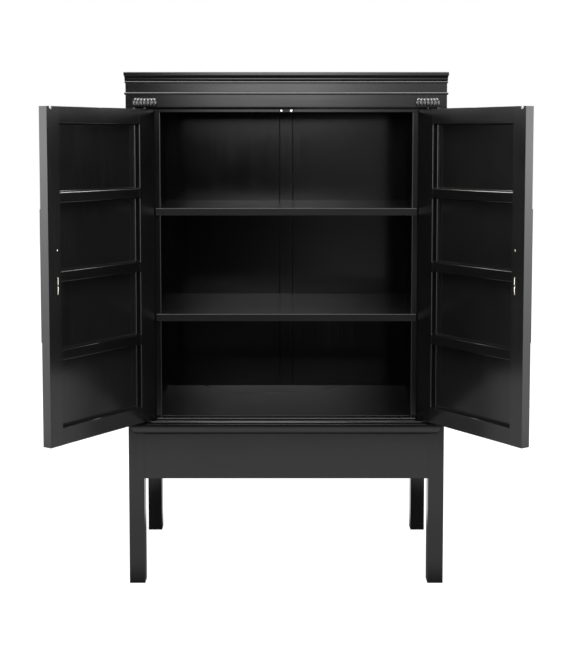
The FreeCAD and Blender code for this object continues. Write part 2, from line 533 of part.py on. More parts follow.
        frames.append(rounded("%s_bead_%d" % (tag, k), f, lip, V["bead_h"] - 0.4))
    piece(fuse("%s_panel_s" % tag, panel, *frames), "%s_door_panel" % tag)

    # outer half-round face plate, bored for the split pin and the stud
    pl = doc.addObject("Part::Cylinder", "%s_plate_disc" % tag)
    bind(pl, Radius="plate_r", Height="plate_t", Angle="180")
    # the half disc lies on the outer face with its straight side at the free edge
    local = FreeCAD.Placement(vec(-side * (L - 0.5), -half, V["plate_z"]), FreeCAD.Rotation(vec(1, 0, 0), 90))
    quarter = FreeCAD.Placement(vec(0, 0, 0), FreeCAD.Rotation(vec(0, 0, 1), 90 if side < 0 else -90))
    pl.Placement = spin.multiply(local).multiply(quarter)
    ph1 = dcyl("plate_hole_pull", "shank_r+0.01", fix_u, V["pull_z"], -half - 6, -half + 1)
    ph2 = dcyl("plate_hole_stud", "2.01", fix_u, V["stud_z"], -half - 6, -half + 1)
    piece(cut("%s_plate_s" % tag, pl, ph1, ph2), "%s_door_plate" % tag)

    # split pin that carries the pull: rose, shank, cross axle, and two legs spread flat on the inner face
    pt = V["plate_t"]
    av = -half - pt - V["axle_out"]
    shank = dcyl("pin_shank", "shank_r", fix_u, V["pull_z"], av - 2.6, half)
    rose = dcyl("pin_rose", "9", fix_u, V["pull_z"], -half - pt - 2, -half - pt)
    axle = dbar("pin_axle", "axle_r", fix_u, av, V["pull_z"], 19.0)
    legs = dbox("pin_legs", "door_len-fix_in-1.7", "door_len-fix_in+1.7", "door_half_t", "door_half_t+1.4", "pull_z-30", "pull_z+30")
    split = fuse("%s_split_pin" % tag, shank, rose, axle, legs)
    # stud: domed head outside, shank through the stile, peened end inside
    st_shank = dcyl("stud_shank", "2", fix_u, V["stud_z"], -half - pt - 3, half)
    dome = doc.addObject("Part::Sphere", "%s_stud_dome" % tag)
    bind(dome, Radius="13")
    dome.Placement = spin.multiply(FreeCAD.Placement(vec(-side * fix_u, -half - pt + 4, V["stud_z"]), FreeCAD.Rotation()))
    keep = dcyl("stud_keep", "20", fix_u, V["stud_z"], -half - pt - 20, -half - pt)
    head = doc.addObject("Part::Common", "%s_stud_head" % tag)
    head.Base = dome
    head.Tool = keep
    peen = dcyl("stud_peen", "3.6", fix_u, V["stud_z"], half, half + 1.2)
    stud = fuse("%s_stud" % tag, st_shank, head, peen)
    piece(group("%s_door_studs_s" % tag, split, stud), "%s_door_studs" % tag)

    # drop pull: two knuckles on the axle and a leaf that hangs below them
    k1 = dbar("pull_knuckle_a", "3.6", fix_u - 5.8, av, V["pull_z"], 5.4)
    k2 = dbar("pull_knuckle_b", "3.6", fix_u + 5.8, av, V["pull_z"], 5.4)
    bore = dbar("pull_bore", "axle_bore_r", fix_u, av, V["pull_z"], 30.0)
    body = doc.addObject("PartDesign::Body", "%s_pull_leaf" % tag)
    plane = [f for f in body.Origin.OriginFeatures if f.Role == "XZ_Plane"][0]
    sk = body.newObject("Sketcher::SketchObject", "%s_pull_outline" % tag)
    sk.AttachmentSupport = [(plane, "")]
    sk.MapMode = "FlatFace"
    # leaf outline, from the knuckles down to a rounded end
    sk.addGeometry(Part.LineSegment(vec(-8.5, -4.5, 0), vec(8.5, -4.5, 0)), False)
    sk.addGeometry(Part.LineSegment(vec(8.5, -4.5, 0), vec(16, -66, 0)), False)
    sk.addGeometry(Part.Arc(vec(16, -66, 0), vec(0, -84, 0), vec(-16, -66, 0)), False)
    sk.addGeometry(Part.LineSegment(vec(-16, -66, 0), vec(-8.5, -4.5, 0)), False)
    for a, ap, b, bp in ((0, 2, 1, 1), (3, 2, 0, 1)):
        sk.addConstraint(Sketcher.Constraint("Coincident", a, ap, b, bp))
    pad = body.newObject("PartDesign::Pad", "%s_pull_pad" % tag)
    pad.Profile = sk
    pad.Midplane = True
    bind(pad, Length="2.6")
    body.Placement = spin.multiply(FreeCAD.Placement(vec(-side * fix_u, av, V["pull_z"]), FreeCAD.Rotation()))
    tab1 = dbox("pull_tab_a", "door_len-fix_in-8.5", "door_len-fix_in-3.1", str(av - 1.3), str(av + 1.3), "pull_z-6", "pull_z")
    tab2 = dbox("pull_tab_b", "door_len-fix_in+3.1", "door_len-fix_in+8.5", str(av - 1.3), str(av + 1.3), "pull_z-6", "pull_z")
    pull = fuse("%s_pull_blank" % tag, k1, k2, tab1, tab2, body)
    piece(cut("%s_drop_pull_s" % tag, pull, bore), "%s_drop_pull" % tag)

    # steel strike disc for the catch
    piece(dcyl("strike_s", "strike_r", L - V["strike_in"], V["catch_z"], half, half + V["strike_t"]), "%s_door_strike" % tag)

doc.recompute()

# ---------------------------------------------------------------------------------------------- tests and files
bad = [o.Name for o in doc.Objects if "Invalid" in o.State or "Error" in o.State]
for o in PARTS:
    if o.Shape.isNull() or not o.Shape.isValid() or not o.Shape.Solids:
        bad.append(o.Label)
if bad:
    raise RuntimeError("failed objects: %s" % ", ".join(bad))
if len(PARTS) > 60 or len(set(o.Label for o in PARTS)) != len(PARTS):
    raise RuntimeError("labels: %d pieces" % len(PARTS))
os.makedirs("parts", exist_ok=True)
lo = [1e9] * 3
hi = [-1e9] * 3
for o in PARTS:
    o.Shape.exportStep("parts/%s.step" % o.Label)
    bb = o.Shape.BoundBox
    lo = [min(lo[0], bb.XMin), min(lo[1], bb.YMin), min(lo[2], bb.ZMin)]
    hi = [max(hi[0], bb.XMax), max(hi[1], bb.YMax), max(hi[2], bb.ZMax)]
    print("%-28s solids %d  volume %.1f cm3" % (o.Label, len(o.Shape.Solids), o.Shape.Volume / 1000.0))
print("pieces", len(PARTS), "box", [round(v, 2) for v in lo], [round(v, 2) for v in hi])
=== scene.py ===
import json
import math

import bmesh
import bpy
from mathutils import Matrix, Vector


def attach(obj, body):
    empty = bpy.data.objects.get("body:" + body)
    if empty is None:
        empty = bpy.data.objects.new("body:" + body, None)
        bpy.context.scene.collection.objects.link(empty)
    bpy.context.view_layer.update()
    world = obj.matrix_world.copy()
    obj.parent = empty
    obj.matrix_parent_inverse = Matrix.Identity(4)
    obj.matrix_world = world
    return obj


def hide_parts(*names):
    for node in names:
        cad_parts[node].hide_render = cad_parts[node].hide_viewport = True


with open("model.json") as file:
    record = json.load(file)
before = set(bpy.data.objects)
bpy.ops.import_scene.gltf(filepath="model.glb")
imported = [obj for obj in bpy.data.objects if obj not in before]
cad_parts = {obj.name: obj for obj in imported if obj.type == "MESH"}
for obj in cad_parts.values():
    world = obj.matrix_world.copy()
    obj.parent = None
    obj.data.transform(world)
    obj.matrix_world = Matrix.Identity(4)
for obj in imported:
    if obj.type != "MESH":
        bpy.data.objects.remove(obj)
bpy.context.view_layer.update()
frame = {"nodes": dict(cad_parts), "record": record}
NODES = frame["nodes"]
scene = bpy.context.scene
scene.view_settings.view_transform = "Standard"
scene.view_settings.look = "None"

# ------------------------------------------------------------------------------------------------ frame of the doors
REST = math.radians(124.4)
FRONT_Y = -0.135
PIVOT_X, PIVOT_Y = 0.4944, FRONT_Y + 0.0185


def door_matrix(side):
    """Door frame to row frame: x along the door from its pivot to its free edge, y towards its inner face, z up.
    On the right door x is mirrored, so shapes made for the left door fit both."""
    c, s = math.cos(REST), math.sin(REST)
    u = Vector((c, -s, 0)) if side < 0 else Vector((-c, -s, 0))
    v = Vector((s, c, 0)) if side < 0 else Vector((-s, c, 0))
    m = Matrix.Identity(4)
    m.col[0][:3], m.col[1][:3], m.col[2][:3] = u, v, (0, 0, 1)
    m.col[3][:3] = (side * PIVOT_X, PIVOT_Y, 0)
    return m


# ------------------------------------------------------------------------------------------------ node helpers
class Tree:
    """Short hand for building a material's nodes."""

    def __init__(self, name):
        self.mat = bpy.data.materials.new(name)
        self.mat.use_nodes = True
        self.nt = self.mat.node_tree
        self.nt.nodes.clear()

    def add(self, kind, **props):
        n = self.nt.nodes.new(kind)
        for k, v in props.items():
            setattr(n, k, v)
        return n

    def link(self, a, b):
        self.nt.links.new(a, b)

    def mapping(self, source, scale=(1, 1, 1), rot=(0, 0, 0), loc=(0, 0, 0)):
        m = self.add("ShaderNodeMapping")
        m.inputs["Scale"].default_value = scale
        m.inputs["Rotation"].default_value = rot
        m.inputs["Location"].default_value = loc
        self.link(source, m.inputs["Vector"])
        return m.outputs["Vector"]

    def noise(self, vec, scale, detail=3.0, rough=0.55):
        n = self.add("ShaderNodeTexNoise")
        n.inputs["Scale"].default_value = scale
        n.inputs["Detail"].default_value = detail
        n.inputs["Roughness"].default_value = rough
        self.link(vec, n.inputs["Vector"])
        return n.outputs["Fac"]

    def remap(self, value, a, b, c, d, smooth=False):
        n = self.add("ShaderNodeMapRange")
        n.interpolation_type = "SMOOTHSTEP" if smooth else "LINEAR"
        for k, v in zip(("From Min", "From Max", "To Min", "To Max"), (a, b, c, d)):
            n.inputs[k].default_value = v
        self.link(value, n.inputs["Value"])
        return n.outputs["Result"]

    def math(self, op, a, b=None):
        n = self.add("ShaderNodeMath", operation=op)
        for i, v in enumerate((a, b)):
            if v is None:
                continue
            if isinstance(v, bpy.types.NodeSocket):
                self.link(v, n.inputs[i])
            else:
                n.inputs[i].default_value = v
        return n.outputs[0]

    def mix(self, fac, a, b):
        n = self.add("ShaderNodeMix", data_type="RGBA")
        if isinstance(fac, bpy.types.NodeSocket):
            self.link(fac, n.inputs[0])
        else:
            n.inputs[0].default_value = fac
        for i, v in ((6, a), (7, b)):
            if isinstance(v, bpy.types.NodeSocket):
                self.link(v, n.inputs[i])
            else:
                n.inputs[i].default_value = (*v, 1.0)
        return n.outputs[2]

    def bump(self, height, strength, distance, normal=None):
        n = self.add("ShaderNodeBump")
        n.inputs["Strength"].default_value = strength
        n.inputs["Distance"].default_value = distance
        self.link(height, n.inputs["Height"])
        if normal is not None:
            self.link(normal, n.inputs["Normal"])
        return n.outputs["Normal"]

    def edge(self, radius):
        """1 along arrises, 0 on flat faces."""
        bev = self.add("ShaderNodeBevel", samples=6)
        bev.inputs["Radius"].default_value = radius
        geo = self.add("ShaderNodeNewGeometry")
        dot = self.add("ShaderNodeVectorMath", operation="DOT_PRODUCT")
        self.link(bev.outputs["Normal"], dot.inputs[0])
        self.link(geo.outputs["Normal"], dot.inputs[1])
        return self.remap(dot.outputs["Value"], 0.995, 0.90, 0.0, 1.0)

    def position(self):
        xyz = self.add("ShaderNodeSeparateXYZ")
        self.link(self.add("ShaderNodeNewGeometry").outputs["Position"], xyz.inputs[0])
        return xyz.outputs

    def finish(self, shader):
        out = self.add("ShaderNodeOutputMaterial")
        self.link(shader, out.inputs["Surface"])
        return self.mat


def lacquer(name, grain, turn=0.0, rough=(0.11, 0.17), painted_sheen=None, front_rough=None, gloss=0.5, depth=0.55, painted_arris_highlight=0.0, flutes=0.0, corner=None):
    """Black lacquer rubbed to a satin gloss; the wood's grain just telegraphs through it along the board.
    painted_sheen: a painted sheen on faces that look up, given at the front and at the back, standing in for the light
    they catch; front_rough: roughness of faces that look to the front;
    depth: lightness of the black, set per piece as painted light and shade; painted_arris_highlight: strength of a pale
    line painted on the rounded upper arrises as a highlight; flutes: dullness left in hollows;
    corner: heights between which the gloss falls off to a dull strip that paints shade in the corner under the frieze,
    duller to the left."""
    t = Tree(name)
    co = t.add("ShaderNodeTexCoord").outputs["Object"]
    own = t.add("ShaderNodeSeparateXYZ")
    t.link(co, own.inputs[0])
    aside = t.math("ABSOLUTE", own.outputs[0])
    co = t.mapping(co, rot=(0, 0, turn))
    # grain runs along one axis: long there, fine across
    stretch = {"x": (5, 260, 260), "y": (260, 5, 260), "z": (260, 260, 5)}[grain]
    grain_n = t.noise(t.mapping(co, scale=stretch), 1.0, detail=4.0, rough=0.6)
    pores = t.noise(t.mapping(co, scale=[v * 3.1 for v in stretch]), 1.0, detail=2.0, rough=0.5)
    cloud = t.noise(co, 3.2, detail=4.0, rough=0.6)
    peel = t.noise(co, 330.0, detail=2.0, rough=0.5)
    rub = t.noise(t.mapping(co, scale=[v * 0.35 for v in stretch]), 1.0, detail=3.0, rough=0.6)
    edge = t.math("MULTIPLY", t.edge(0.0022), t.remap(t.noise(co, 38.0, detail=5.0, rough=0.7), 0.42, 0.66, 0.0, 1.0))

    def tone(*c):
        return tuple(v * depth for v in c)

    body = t.mix(t.remap(cloud, 0.3, 0.72, 0.0, 1.0), tone(0.0026, 0.0026, 0.0027), tone(0.0050, 0.0049, 0.0048))
    body = t.mix(t.remap(grain_n, 0.35, 0.75, 0.0, 0.45), body, tone(0.0080, 0.0076, 0.0072))
    body = t.mix(t.math("MULTIPLY", edge, 0.4), body, (0.026, 0.022, 0.018))
    r = t.remap(cloud, 0.25, 0.75, rough[0], rough[1])
    r = t.math("ADD", r, t.remap(rub, 0.3, 0.7, -0.02, 0.02))
    r = t.math("ADD", r, t.math("MULTIPLY", edge, 0.05))
    height = t.math("ADD", t.math("MULTIPLY", grain_n, 0.7), t.math("MULTIPLY", t.remap(pores, 0.30, 0.42, 0.0, 1.0), 0.5))
    n = t.bump(height, 0.035, 0.0003)
    n = t.bump(peel, 0.03, 0.0004, n)
    b = t.add("ShaderNodeBsdfPrincipled")
    way = t.add("ShaderNodeSeparateXYZ")
    t.link(t.add("ShaderNodeNewGeometry").outputs["Normal"], way.inputs[0])
    if painted_arris_highlight:
        # painted highlight: a pale line on the rounded upper arrises, broken by noise, strongest on the highest rail,
        # where more light falls, fading out on the lower rails, and stronger towards the free ends
        arris_highlight_paint = t.math("MULTIPLY", t.remap(way.outputs[2], 0.12, 0.34, 0.0, painted_arris_highlight, smooth=True), t.remap(way.outputs[2], 0.86, 0.98, 1.0, 0.0, smooth=True))
        arris_highlight_paint = t.math("MULTIPLY", arris_highlight_paint, t.remap(t.noise(co, 26.0, detail=4.0, rough=0.65), 0.30, 0.70, 0.75, 1.2))
        arris_highlight_paint = t.math("MULTIPLY", arris_highlight_paint, t.remap(own.outputs[2], 1.09, 1.41, 0.0, 1.0))
        arris_highlight_paint = t.math("MULTIPLY", arris_highlight_paint, t.remap(aside, 0.53, 0.65, 0.2, 1.0, smooth=True))
        body = t.mix(arris_highlight_paint, body, (0.16, 0.156, 0.150))
    if front_rough is not None:
        r = t.math("MAXIMUM", r, t.remap(way.outputs[1], -0.9, -0.6, front_rough, 0.0))
    if flutes:
        open_sky = t.add("ShaderNodeAmbientOcclusion", samples=8, only_local=True)
        open_sky.inputs["Distance"].default_value = flutes
        r = t.math("ADD", r, t.remap(open_sky.outputs["AO"], 0.35, 0.85, 0.55, 0.0, smooth=True))
    if painted_sheen:
        # painted sheen on faces that look up, standing in for the light they catch: raised towards the back, where the
        # real light falls off, and lowered at the sides and to the right, which paints shade there
        painted_sheen_weight = t.math("MULTIPLY", t.remap(way.outputs[2], 0.8, 0.98, 0.0, 1.0), t.remap(cloud, 0.25, 0.75, 0.9, 1.1))
        painted_sheen_weight = t.math("MULTIPLY", painted_sheen_weight, t.remap(aside, 0.20, 0.47, 1.0, 0.25, smooth=True))
        painted_sheen_weight = t.math("MULTIPLY", painted_sheen_weight, t.remap(own.outputs[0], 0.04, 0.40, 1.0, 0.42, smooth=True))
        deep = t.math("POWER", t.remap(own.outputs[1], -0.10, 0.49, 0.0, 1.0), 2.0)
        painted_sheen_weight = t.math("MULTIPLY", painted_sheen_weight, t.remap(deep, 0.0, 1.0, painted_sheen[0], painted_sheen[1]))
        t.link(painted_sheen_weight, b.inputs["Sheen Weight"])
        b.inputs["Sheen Roughness"].default_value = 0.45
    t.link(body, b.inputs["Base Color"])
    t.link(r, b.inputs["Roughness"])
    t.link(n, b.inputs["Normal"])
    b.inputs["IOR"].default_value = 1.5
    b.inputs["Specular IOR Level"].default_value = gloss
    if corner is not None:
        # painted shade: between the given heights the gloss drops to a dull strip, duller to the left, so the corner
        # reads dark
        corner_gloss = t.remap(own.outputs[0], -0.05, 0.15, 0.04, 0.16, smooth=True)
        painted_corner_shade = t.remap(own.outputs[2], corner[0], corner[1], 0.0, 1.0)
        corner_gloss = t.math("ADD", t.math("MULTIPLY", t.math("SUBTRACT", 1.0, painted_corner_shade), gloss), t.math("MULTIPLY", painted_corner_shade, corner_gloss))
        t.link(corner_gloss, b.inputs["Specular IOR Level"])
    return t.finish(b.outputs[0])


def metal(name, bright, dull, dark, rough, brush, bump=0.06):
    """Plated or solid metal: brushed streaks, dulled patches, darker in the recesses of its wear."""
    t = Tree(name)
    co = t.add("ShaderNodeTexCoord").outputs["Object"]
    streak = t.noise(t.mapping(co, scale=brush), 1.0, detail=3.0, rough=0.6)
    patch = t.noise(co, 14.0, detail=5.0, rough=0.65)
    spots = t.noise(co, 140.0, detail=3.0, rough=0.6)
    colour = t.mix(t.remap(patch, 0.36, 0.66, 0.0, 1.0), bright, dull)
    colour = t.mix(t.remap(spots, 0.58, 0.72, 0.0, 0.55), colour, dark)
    r = t.remap(patch, 0.3, 0.7, rough[0], rough[1])
    r = t.math("ADD", r, t.remap(streak, 0.3, 0.7, -0.06, 0.06))
    b = t.add("ShaderNodeBsdfPrincipled")
    t.link(colour, b.inputs["Base Color"])
    t.link(r, b.inputs["Roughness"])
    t.link(t.bump(t.math("ADD", streak, t.math("MULTIPLY", spots, 0.4)), bump, 0.0004), b.inputs["Normal"])
    b.inputs["Metallic"].default_value = 1.0
    return t.finish(b.outputs[0])


def plastic(name):
    t = Tree(name)
    co = t.add("ShaderNodeTexCoord").outputs["Object"]
    fine = t.noise(co, 900.0, detail=2.0)
    cloud = t.noise(co, 60.0, detail=3.0)
    b = t.add("ShaderNodeBsdfPrincipled")
    t.link(t.mix(cloud, (0.020, 0.018, 0.016), (0.035, 0.031, 0.028)), b.inputs["Base Color"])
    t.link(t.remap(fine, 0.3, 0.7, 0.42, 0.58), b.inputs["Roughness"])
    t.link(t.bump(fine, 0.15, 0.0002), b.inputs["Normal"])
    return t.finish(b.outputs[0])


LACQ = {
    "x": lacquer("lacquer_across", "x"),
    "y": lacquer("lacquer_depth", "y"),
    "z": lacquer("lacquer_upright", "z"),
    # door rails, free stiles and panels: lighter copies of the black (depth above 0.55), painted light on the doors
    "left": lacquer("lacquer_left_door_rails", "x", turn=REST, rough=(0.14, 0.20), depth=0.7),
    "right": lacquer("lacquer_right_door_rails", "x", turn=-REST, rough=(0.14, 0.20), depth=0.7),
    "door": lacquer("lacquer_door_uprights", "z", rough=(0.14, 0.20)),
    "free": lacquer("lacquer_free_stiles", "z", rough=(0.14, 0.20), depth=1.15),
    "panel": lacquer("lacquer_door_panels", "z", rough=(0.14, 0.20), depth=0.85),
    # middle rails: a highlight painted along their upper arrises
    "left_mid": lacquer("lacquer_left_middle_rails", "x", turn=REST, rough=(0.14, 0.20), painted_arris_highlight=0.9),
    "right_mid": lacquer("lacquer_right_middle_rails", "x", turn=-REST, rough=(0.14, 0.20), painted_arris_highlight=0.9),
    # shelves and floor: painted sheen weights at the front and at the back
    "shelf": lacquer("lacquer_shelves", "x", rough=(0.15, 0.22), painted_sheen=(0.023, 0.090), front_rough=0.28),
    "high_shelf": lacquer("lacquer_upper_shelf", "x", rough=(0.15, 0.22), painted_sheen=(0.017, 0.066), front_rough=0.28),
    "floor": lacquer("lacquer_floor", "x", rough=(0.15, 0.22), painted_sheen=(0.036, 0.36)),
    # back: a darker copy of the black, painted shade inside the case
    "back": lacquer("lacquer_back", "z", depth=0.3),
    # frieze and stop rail: dull strips that paint the shade in the corner between them
    "frieze": lacquer("lacquer_frieze", "x", corner=(1.6965, 1.6935)),
    "stop": lacquer("lacquer_stop_rail", "x", corner=(1.6858, 1.6873)),
    # linings: a darker copy of the black, painted shade inside the case
    "lining": lacquer("lacquer_linings", "z", rough=(0.52, 0.62), gloss=0.04, depth=0.3),
}
BRASS = metal("white_brass", (0.78, 0.74, 0.64), (0.58, 0.54, 0.45), (0.18, 0.16, 0.13), (0.20, 0.34), (30, 30, 900))
NICKEL = metal("nickel_plate", (0.78, 0.77, 0.74), (0.62, 0.61, 0.59), (0.30, 0.29, 0.28), (0.14, 0.26), (700, 700, 40), 0.04)
PIVOT = metal("oiled_steel", (0.105, 0.103, 0.100), (0.066, 0.065, 0.063), (0.030, 0.027, 0.024), (0.26, 0.40), (60, 60, 700), 0.05)
PLATE = metal("blackened_plate", (0.030, 0.030, 0.031), (0.018, 0.018, 0.019), (0.06, 0.052, 0.042), (0.30, 0.42), (420, 420, 60), 0.05)
CATCH = plastic("catch_moulding")


def dress(obj, mat):
    if len(obj.data.materials) == 0:
        obj.data.materials.append(mat)
    else:
        for i in range(len(obj.data.materials)):
            obj.data.materials[i] = mat


def wood_for(name):
    if "_door_" in name:
        if name.endswith("mid_rails"):
            return LACQ["left_mid" if name.startswith("left") else "right_mid"]
        if name.endswith("rail"):
            return LACQ["left" if name.startswith("left") else "right"]
        return LACQ["free" if name.endswith("free_stile") else "panel" if name.endswith("panel") else "door"]
    if name in ("upper_shelf", "lower_shelf", "floor_panel"):
        return LACQ["floor" if name == "floor_panel" else "shelf" if name == "lower_shelf" else "high_shelf"]
    if name.endswith("lining"):
        return LACQ["lining"]
    if name.startswith("back_"):
        return LACQ["back"]
    if name in ("door_stop_rail", "frieze_rail"):
        return LACQ["stop" if name == "door_stop_rail" else "frieze"]
    if any(k in name for k in ("leg", "jamb", "side_panel", "cap")):
        return LACQ["z"]
    if name in ("left_apron", "right_apron", "left_top_rail", "right_top_rail"):
        return LACQ["y"]
    return LACQ["x"]


# ------------------------------------------------------------------------------------------------ softened arrises
def node_group(name):
    g = bpy.data.node_groups.new(name, "GeometryNodeTree")
    g.interface.new_socket("Geometry", in_out="INPUT", socket_type="NodeSocketGeometry")
    g.interface.new_socket("Geometry", in_out="OUTPUT", socket_type="NodeSocketGeometry")
    return g, g.nodes.new("NodeGroupInput"), g.nodes.new("NodeGroupOutput")


def clean_group():
    """Geometry nodes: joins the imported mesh's split corners and clears its stored normals, so that a bevel can follow."""
    g, i, o = node_group("joined_corners")
    merge = g.nodes.new("GeometryNodeMergeByDistance")
    merge.inputs["Distance"].default_value = 0.00002
    drop = g.nodes.new("GeometryNodeRemoveAttribute")
    drop.inputs["Name"].default_value = "custom_normal"
    faces = g.nodes.new("GeometryNodeSetShadeSmooth")
    faces.domain = "FACE"
    edges = g.nodes.new("GeometryNodeSetShadeSmooth")
    edges.domain = "EDGE"
    last = i.outputs[0]
    for n in (merge, drop, faces, edges):
        g.links.new(last, n.inputs["Geometry"])
        last = n.outputs["Geometry"]
    g.links.new(last, o.inputs[0])
    return g


def along_group(name, axis, graded=False):
    """Geometry nodes: marks the sharp outer edges that run along one axis for bevelling; butt joints and bores stay tight.
    graded: the upper arrises of the middle rails are sharper on the lower rails, which hands reach less."""
    g, i, o = node_group(name)
    ends = g.nodes.new("GeometryNodeInputMeshEdgeVertices")
    way = g.nodes.new("ShaderNodeVectorMath")
    way.operation = "SUBTRACT"
    unit = g.nodes.new("ShaderNodeVectorMath")
    unit.operation = "NORMALIZE"
    dot = g.nodes.new("ShaderNodeVectorMath")
    dot.operation = "DOT_PRODUCT"
    dot.inputs[1].default_value = axis
    g.links.new(ends.outputs["Position 1"], way.inputs[0])
    g.links.new(ends.outputs["Position 2"], way.inputs[1])
    g.links.new(way.outputs["Vector"], unit.inputs[0])
    g.links.new(unit.outputs["Vector"], dot.inputs[0])

    def step(op, *values):
        n = g.nodes.new("ShaderNodeMath")
        n.operation = op
        for k, v in enumerate(values):
            if isinstance(v, bpy.types.NodeSocket):
                g.links.new(v, n.inputs[k])
            else:
                n.inputs[k].default_value = v
        return n.outputs[0]

    runs = step("GREATER_THAN", step("ABSOLUTE", dot.outputs["Value"]), 0.98)
    sharp = step("GREATER_THAN", g.nodes.new("GeometryNodeInputMeshEdgeAngle").outputs["Signed Angle"], math.radians(40))
    store = g.nodes.new("GeometryNodeStoreNamedAttribute")
    store.data_type = "FLOAT"
    store.domain = "EDGE"
    store.inputs["Name"].default_value = "bevel_weight_edge"
    g.links.new(i.outputs[0], store.inputs["Geometry"])
    weight = step("MULTIPLY", runs, sharp)
    if graded:
        xyz = g.nodes.new("ShaderNodeSeparateXYZ")
        g.links.new(ends.outputs["Position 1"], xyz.inputs[0])
        z = xyz.outputs["Z"]
        upper = step("GREATER_THAN", step("MODULO", step("SUBTRACT", z, 0.860), 0.256), 0.02)
        loss = step("MULTIPLY", step("SUBTRACT", 1.412, z), 1.27)
        weight = step("MULTIPLY", weight, step("SUBTRACT", 1.0, step("MULTIPLY", upper, loss)))
    g.links.new(weight, store.inputs["Value"])
    g.links.new(store.outputs["Geometry"], o.inputs[0])
    return g


CLEAN = clean_group()
ALONG = {
    "left": along_group("along_left_rails", (math.cos(REST), -math.sin(REST), 0)),
    "right": along_group("along_right_rails", (-math.cos(REST), -math.sin(REST), 0)),
    "left_mid": along_group("along_left_middle_rails", (math.cos(REST), -math.sin(REST), 0), True),
    "right_mid": along_group("along_right_middle_rails", (-math.cos(REST), -math.sin(REST), 0), True),
    "z": along_group("along_uprights", (0, 0, 1)),
    "x": along_group("along_front", (1, 0, 0)),
}
BEVEL = {"shelf": 0.0014, "leg": 0.0014, "apron": 0.0010, "free_stile": 0.0010, "mid_rails": 0.0026, "door": 0.0014, "jamb": 0.0026,
         "plate": 0.0007, "top_board": 0.0006, "waist": 0.0028, "sill": 0.0012, "frieze": 0.0060, "threshold": 0.0018, "stop_rail": 0.0018}


def soften(obj, width, segments=3, angle=40, along=None):
    """Softened arrises, as sanding and lacquer leave them."""
    m = obj.modifiers.new("joined", "NODES")
    m.node_group = CLEAN
    m = obj.modifiers.new("flats", "DECIMATE")
    m.decimate_type = "DISSOLVE"
    m.angle_limit = math.radians(0.4)
    if along is not None:
        m = obj.modifiers.new("free_arrises", "NODES")
        m.node_group = along
    m = obj.modifiers.new("arris", "BEVEL")
    m.width = width
    m.segments = segments
    m.limit_method = "ANGLE" if along is None else "WEIGHT"
    m.angle_limit = math.radians(angle)
    m.use_clamp_overlap = True
    m = obj.modifiers.new("shading", "WEIGHTED_NORMAL")
    m.weight = 100
    m.keep_sharp = False


for name, obj in NODES.items():
    slot = next(s["material_slot"] for s in frame["record"]["subparts"] if s["node"] == name)
    mat = {"brass": BRASS, "steel": NICKEL, "catch_plastic": CATCH, "black_metal": PLATE}.get(slot) or wood_for(name)
    dress(obj, PIVOT if name.endswith("pivot_pins") else mat)
    if name.endswith("door_panel"):
        continue
    width = next((w for k, w in BEVEL.items() if k in name), 0.0009)
    rule = None
    if "_door_" in name and "rail" in name:
        rule = ALONG[("left" if name.startswith("left") else "right") + ("_mid" if name.endswith("mid_rails") else "")]
    elif name.endswith("free_stile"):
        rule = ALONG["z"]
    elif name in ("front_sill", "frieze_rail", "front_waist_moulding"):
        rule = ALONG["x"]
    soften(obj, width if slot in ("black_lacquer", "black_metal") else 0.0004, segments=5 if width > 0.005 else 3, along=rule)


# ------------------------------------------------------------------------------------------------ pieces in mesh
def piece(name, verts, faces, body, node, mat):
    """A finished mesh piece in the row frame that stands for a CAD node and moves with its body."""
    mesh = bpy.data.meshes.new(name)
    mesh.from_pydata([tuple(v) for v in verts], [], faces)
    bm = bmesh.new()
    bm.from_mesh(mesh)
    bmesh.ops.remove_doubles(bm, verts=bm.verts, dist=1e-6)
    bmesh.ops.recalc_face_normals(bm, faces=bm.faces)
    for f in bm.faces:
        f.smooth = True
    bm.to_mesh(mesh)
    bm.free()
    obj = bpy.data.objects.new(name, mesh)
    scene.collection.objects.link(obj)
    dress(obj, mat)
    m = obj.modifiers.new("shading", "WEIGHTED_NORMAL")
    m.weight = 100
    m.keep_sharp = False
    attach(obj, body)
    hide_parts(node)
    return obj


class Shape:
    """Collects rings of points into one mesh."""

    def __init__(self, place=None):
        self.verts, self.faces = [], []
        self.place = place or Matrix.Identity(4)

    def skin(self, rings, closed=True, cap=(True, True)):
        base, n = len(self.verts), len(rings[0])
        for ring in rings:
            self.verts += [self.place @ Vector(p) for p in ring]
        for i in range(len(rings) - 1):
            for j in range(n if closed else n - 1):
                a, b = base + i * n + j, base + i * n + (j + 1) % n
                self.faces.append((a, b, b + n, a + n))
        if cap[0]:
            self.faces.append(tuple(base + j for j in range(n)))
        if cap[1]:
            self.faces.append(tuple(base + (len(rings) - 1) * n + j for j in range(n)))
        return self

    def lathe(self, centre, axis, side_a, profile, n=28):
        """Turned shape: profile is (distance along the axis, radius)."""
        axis, a = Vector(axis), Vector(side_a)
        b = axis.cross(a)
        rings = []
        for d, r in profile:
            c = Vector(centre) + axis * d
            rings.append([c + (a * math.cos(q) + b * math.sin(q)) * r for q in (2 * math.pi * k / n for k in range(n))])
        return self.skin(rings)

    def tube(self, path, sizes, wide, n=12, square=1.0):
        """A bar of oval section along a path; sizes are (half width along wide, half thickness across); square < 1 flattens its faces."""
        rings = []

        def fair(c):
            return math.copysign(abs(c) ** square, c)

        for k, (p, (w, h)) in enumerate(zip(path, sizes)):
            t = (Vector(path[min(k + 1, len(path) - 1)]) - Vector(path[max(k - 1, 0)])).normalized()
            x = Vector(wide)
            x = (x - t * x.dot(t)).normalized()
            y = t.cross(x)
            rings.append([Vector(p) + x * (w * fair(math.cos(q))) + y * (h * fair(math.sin(q))) for q in (2 * math.pi * j / n for j in range(n))])
        return self.skin(rings)


